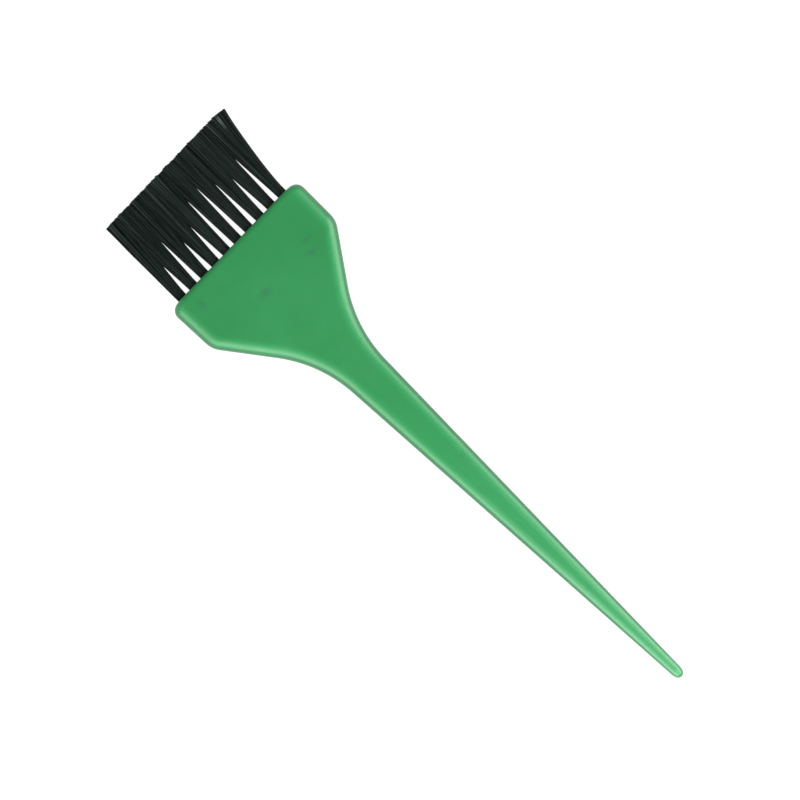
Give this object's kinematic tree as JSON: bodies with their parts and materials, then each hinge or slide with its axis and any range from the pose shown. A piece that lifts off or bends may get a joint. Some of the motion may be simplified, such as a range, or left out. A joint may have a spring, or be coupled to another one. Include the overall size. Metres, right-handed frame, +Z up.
{
  "type": "tint brush",
  "caption": "Flat hair-colour tint brush with a wide paddle head, one straight row of black nylon tufts and a long pointed tail for parting hair.",
  "frame": {"origin": "middle of the base: halfway along and across the brush, in the plane of the handle's flat back", "axes": "+X from the bristle tips to the end of the tail, +Y across the paddle, +Z up out of the face of the handle"},
  "size_m": [0.218, 0.0542, 0.007],
  "materials": {
    "handle_plastic": "smooth moulded gloss",
    "bristle_nylon": "satin drawn filament",
    "anchor_metal": "drawn flat wire"
  },
  "bodies": {
    "handle": {"handle": "handle_plastic", "anchor_01": "anchor_metal", "anchor_02": "anchor_metal", "anchor_03": "anchor_metal", "anchor_04": "anchor_metal", "anchor_05": "anchor_metal", "anchor_06": "anchor_metal", "anchor_07": "anchor_metal", "anchor_08": "anchor_metal", "anchor_09": "anchor_metal", "anchor_10": "anchor_metal"},
    "bristles": {"tuft_01": "bristle_nylon", "tuft_02": "bristle_nylon", "tuft_03": "bristle_nylon", "tuft_04": "bristle_nylon", "tuft_05": "bristle_nylon", "tuft_06": "bristle_nylon", "tuft_07": "bristle_nylon", "tuft_08": "bristle_nylon", "tuft_09": "bristle_nylon", "tuft_10": "bristle_nylon"}
  },
  "joints": [
    {"name": "bristle_flex", "type": "hinge", "parent": "handle", "child": "bristles", "pos_m": [-0.0778, 0, 0.00345], "axis": [0, 1, 0], "range_deg": [-35, 35], "stiffness_Nm_per_rad": 0.07, "deforming": ["tuft_01", "tuft_02", "tuft_03", "tuft_04", "tuft_05", "tuft_06", "tuft_07", "tuft_08", "tuft_09", "tuft_10"]}
  ]
}
